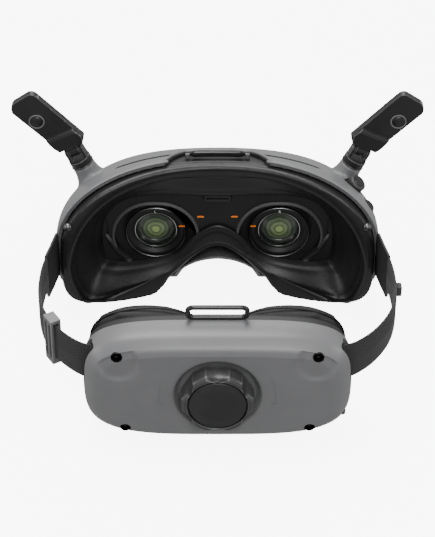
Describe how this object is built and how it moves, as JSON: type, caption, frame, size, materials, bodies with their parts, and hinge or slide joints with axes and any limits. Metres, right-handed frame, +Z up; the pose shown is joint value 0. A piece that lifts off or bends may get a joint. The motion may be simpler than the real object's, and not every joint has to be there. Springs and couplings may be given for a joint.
{
  "type": "fpv goggles",
  "caption": "Head-worn video goggles with a soft face foam, folding paddle antennas, webbing straps and a rear battery pack with a tension knob.",
  "frame": {"origin": "centre of the bounding box's bottom face, on the surface that the goggles and the pack stand on", "axes": "+X to the wearer's right and the longest extent, +Y out of the goggles' front, +Z up and the shortest extent"},
  "size_m": [0.2068, 0.19, 0.109],
  "materials": {
    "shell_grey": "satin, fine texture",
    "black_gloss": "polished",
    "black_matte": "fine matte",
    "soft_black": "soft skinned foam",
    "webbing": "woven",
    "antenna_black": "satin",
    "chrome_ring": "polished",
    "steel": "dark coated",
    "heat_sink_metal": "brushed",
    "lens_glass": "green anti-reflective coating",
    "board_green": "solder mask",
    "cell_blue": "shrink wrap",
    "buckle_grey": "satin",
    "knob_black": "fine matte"
  },
  "bodies": {
    "goggles": {"main_shell": "shell_grey", "front_cover": "black_gloss", "face_frame": "black_matte", "face_foam": "soft_black", "lens_panel": "black_matte", "card_reader": "black_gloss", "top_bar_tray": "black_matte", "top_strap_bar": "black_gloss", "fan_housing": "black_matte", "main_board": "board_green", "heat_sink": "heat_sink_metal", "base_cover": "black_matte", "left_vent_grille": "black_matte", "right_vent_grille": "black_matte", "left_strap_anchor": "steel", "right_strap_anchor": "steel", "left_strap": "webbing", "right_strap": "webbing", "strap_clip": "black_matte"},
    "fan": {"fan_rotor": "black_matte"},
    "stick_press": {"stick_plunger": "black_matte"},
    "stick_tilt": {"stick_gimbal": "black_matte"},
    "stick": {"stick_cap": "black_matte"},
    "back": {"back_button": "black_matte"},
    "rear_pack": {"pack_shell": "shell_grey", "pack_inner_shell": "black_matte", "pack_pad": "soft_black", "rear_strap_bar": "black_gloss", "battery_board": "board_green", "left_battery_cell": "cell_blue", "right_battery_cell": "cell_blue", "pack_screw_upper_left": "steel", "pack_screw_upper_right": "steel", "pack_screw_lower_left": "steel", "pack_screw_lower_right": "steel", "strap_buckle": "buckle_grey"},
    "knob": {"tension_knob": "knob_black", "tension_knob_cap": "knob_black", "knob_shaft": "black_matte"},
    "left_rack": {"left_rack": "black_matte"},
    "right_rack": {"right_rack": "black_matte"},
    "power": {"power_button": "black_matte"},
    "left_eye": {"left_lens_barrel": "black_matte", "left_display": "black_gloss", "left_eye_carriage": "black_matte"},
    "left_lens_cell": {"left_lens_ring": "chrome_ring", "left_lens": "lens_glass"},
    "left_focus": {"left_focus_knob": "knob_black"},
    "left_collar": {"left_antenna_collar": "antenna_black", "left_antenna_pin": "steel"},
    "left_antenna": {"left_antenna_blade": "antenna_black"},
    "right_eye": {"right_lens_barrel": "black_matte", "right_display": "black_gloss", "right_eye_carriage": "black_matte"},
    "right_lens_cell": {"right_lens_ring": "chrome_ring", "right_lens": "lens_glass"},
    "right_focus": {"right_focus_knob": "knob_black"},
    "right_collar": {"right_antenna_collar": "antenna_black", "right_antenna_pin": "steel"},
    "right_antenna": {"right_antenna_blade": "antenna_black"}
  },
  "joints": [
    {"name": "left_antenna_swivel", "type": "hinge", "parent": "goggles", "child": "left_collar", "pos_m": [-0.0688, 0.05055, 0.0674], "axis": [-0.4305, 0, 0.9026], "range_deg": [-30, 30]},
    {"name": "left_antenna_fold", "type": "hinge", "parent": "left_collar", "child": "left_antenna", "pos_m": [-0.07259, 0.05055, 0.07534], "axis": [-0.9026, 0, -0.4305], "range_deg": [0, 90]},
    {"name": "left_eye_slide", "type": "slide", "parent": "goggles", "child": "left_eye", "axis": [1, 0, 0], "range_m": [-0.004, 0.004]},
    {"name": "left_focus_turn", "type": "hinge", "parent": "left_eye", "child": "left_focus", "pos_m": [-0.032, 0.05055, 0.0035], "axis": [0, 0, 1], "range_deg": [-150, 150]},
    {"name": "left_lens_focus", "type": "slide", "parent": "left_eye", "child": "left_lens_cell", "axis": [0, 1, 0], "range_m": [-0.001, 0.001]},
    {"name": "right_antenna_swivel", "type": "hinge", "parent": "goggles", "child": "right_collar", "pos_m": [0.0688, 0.05055, 0.0674], "axis": [0.4305, 0, 0.9026], "range_deg": [-30, 30]},
    {"name": "right_antenna_fold", "type": "hinge", "parent": "right_collar", "child": "right_antenna", "pos_m": [0.07259, 0.05055, 0.07534], "axis": [-0.9026, 0, 0.4305], "range_deg": [0, 90]},
    {"name": "right_eye_slide", "type": "slide", "parent": "goggles", "child": "right_eye", "axis": [1, 0, 0], "range_m": [-0.004, 0.004]},
    {"name": "right_focus_turn", "type": "hinge", "parent": "right_eye", "child": "right_focus", "pos_m": [0.032, 0.05055, 0.0035], "axis": [0, 0, 1], "range_deg": [-150, 150]},
    {"name": "right_lens_focus", "type": "slide", "parent": "right_eye", "child": "right_lens_cell", "axis": [0, 1, 0], "range_m": [-0.001, 0.001]},
    {"name": "fan_spin", "type": "hinge", "parent": "goggles", "child": "fan", "pos_m": [0, 0.07015, 0.036], "axis": [0, 1, 0], "continuous": true},
    {"name": "stick_press", "type": "slide", "parent": "goggles", "child": "stick_press", "axis": [-0.6157, 0.1638, -0.7708], "range_m": [0, 0.0008], "stiffness_N_per_m": 1500},
    {"name": "stick_tilt_fore_aft", "type": "hinge", "parent": "stick_press", "child": "stick_tilt", "pos_m": [0.06858, 0.0388, 0.06084], "axis": [0.788, 0.128, -0.6022], "range_deg": [-6, 6], "stiffness_Nm_per_rad": 0.15},
    {"name": "stick_tilt_sideways", "type": "hinge", "parent": "stick_tilt", "child": "stick", "pos_m": [0.06858, 0.0388, 0.06084], "axis": [0, 0.9781, 0.2079], "range_deg": [-6, 6], "stiffness_Nm_per_rad": 0.15},
    {"name": "back_button_press", "type": "slide", "parent": "goggles", "child": "back", "axis": [-0.6157, 0.1638, -0.7708], "range_m": [0, 0.0008], "stiffness_N_per_m": 1500},
    {"name": "pack_slide", "type": "slide", "parent": "goggles", "child": "rear_pack", "axis": [0, 1, 0], "range_m": [-0.016, 0.008], "deforming": ["left_strap", "right_strap"]},
    {"name": "knob_turn", "type": "hinge", "parent": "rear_pack", "child": "knob", "pos_m": [0, -0.08845, 0.03], "axis": [0, 1, 0], "range_deg": [-153, 77]},
    {"name": "left_rack_slide", "type": "slide", "parent": "rear_pack", "child": "left_rack", "axis": [1, 0, 0], "range_m": [-0.0161, 0.0081]},
    {"name": "right_rack_slide", "type": "slide", "parent": "rear_pack", "child": "right_rack", "axis": [-1, 0, 0], "range_m": [-0.0161, 0.0081]},
    {"name": "power_button_press", "type": "slide", "parent": "rear_pack", "child": "power", "axis": [-1, 0, 0], "range_m": [0, 0.0008], "stiffness_N_per_m": 1500}
  ],
  "couplings": [
    {"joint": "knob_turn", "follows": "pack_slide", "rad_per_m": 166.67},
    {"joint": "left_rack_slide", "follows": "pack_slide", "ratio": 1},
    {"joint": "right_rack_slide", "follows": "pack_slide", "ratio": 1},
    {"joint": "left_focus_turn", "follows": "left_lens_focus", "rad_per_m": 2617},
    {"joint": "right_focus_turn", "follows": "right_lens_focus", "rad_per_m": 2617}
  ]
}
